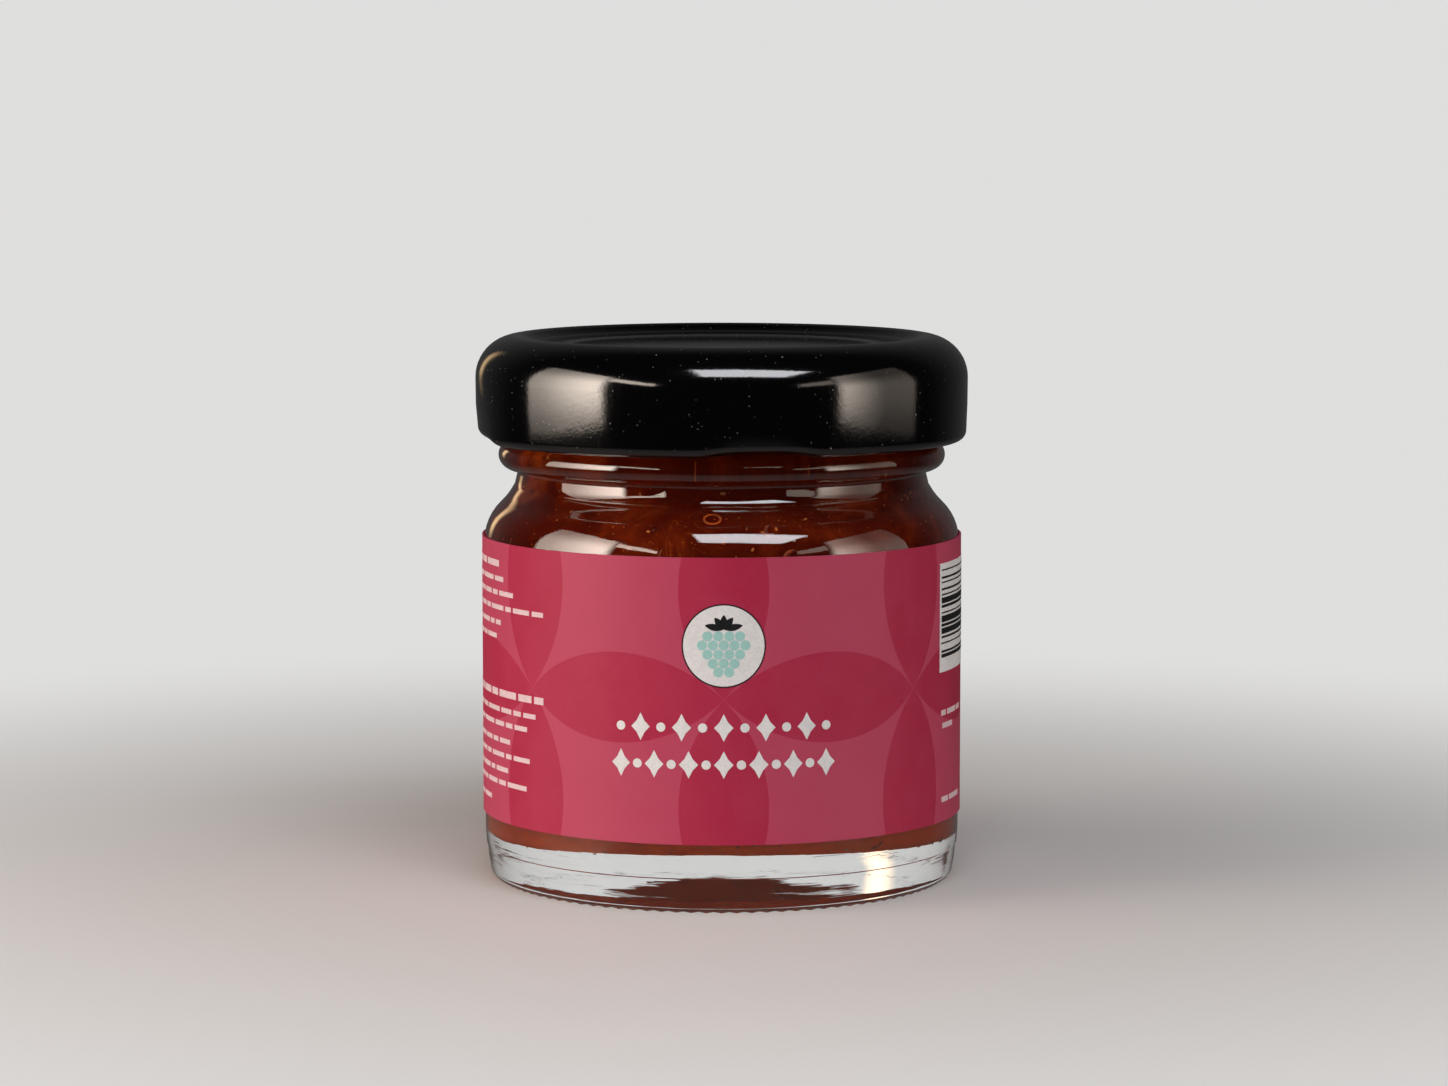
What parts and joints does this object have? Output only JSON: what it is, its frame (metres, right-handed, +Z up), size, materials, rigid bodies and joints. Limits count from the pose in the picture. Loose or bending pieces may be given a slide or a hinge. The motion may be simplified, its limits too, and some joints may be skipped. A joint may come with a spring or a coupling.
{
  "type": "jar of fruit dip",
  "caption": "Small round glass jar of deep red fruit dip with a patterned paper label and a glossy black steel twist-off cap.",
  "frame": {"origin": "centre of the foot, on the surface that the jar stands on", "axes": "+Z up through the middle of the cap; the front of the label faces -Y"},
  "size_m": [0.046, 0.046, 0.051],
  "materials": {
    "clear_glass": "clear pressed glass with a fire-polished face",
    "red_dip": "deep red-brown jellied fruit, clear at thin places, with seeds",
    "rose_paper": "satin rose paper with a tone-on-tone pattern of overlapping circles",
    "black_lacquer": "glossy black lacquer on steel, finely scratched and dusty"
  },
  "bodies": {
    "root": {"glass_jar": "clear_glass", "fruit_dip": "red_dip", "label": "rose_paper", "lid": "black_lacquer"}
  },
  "joints": []
}
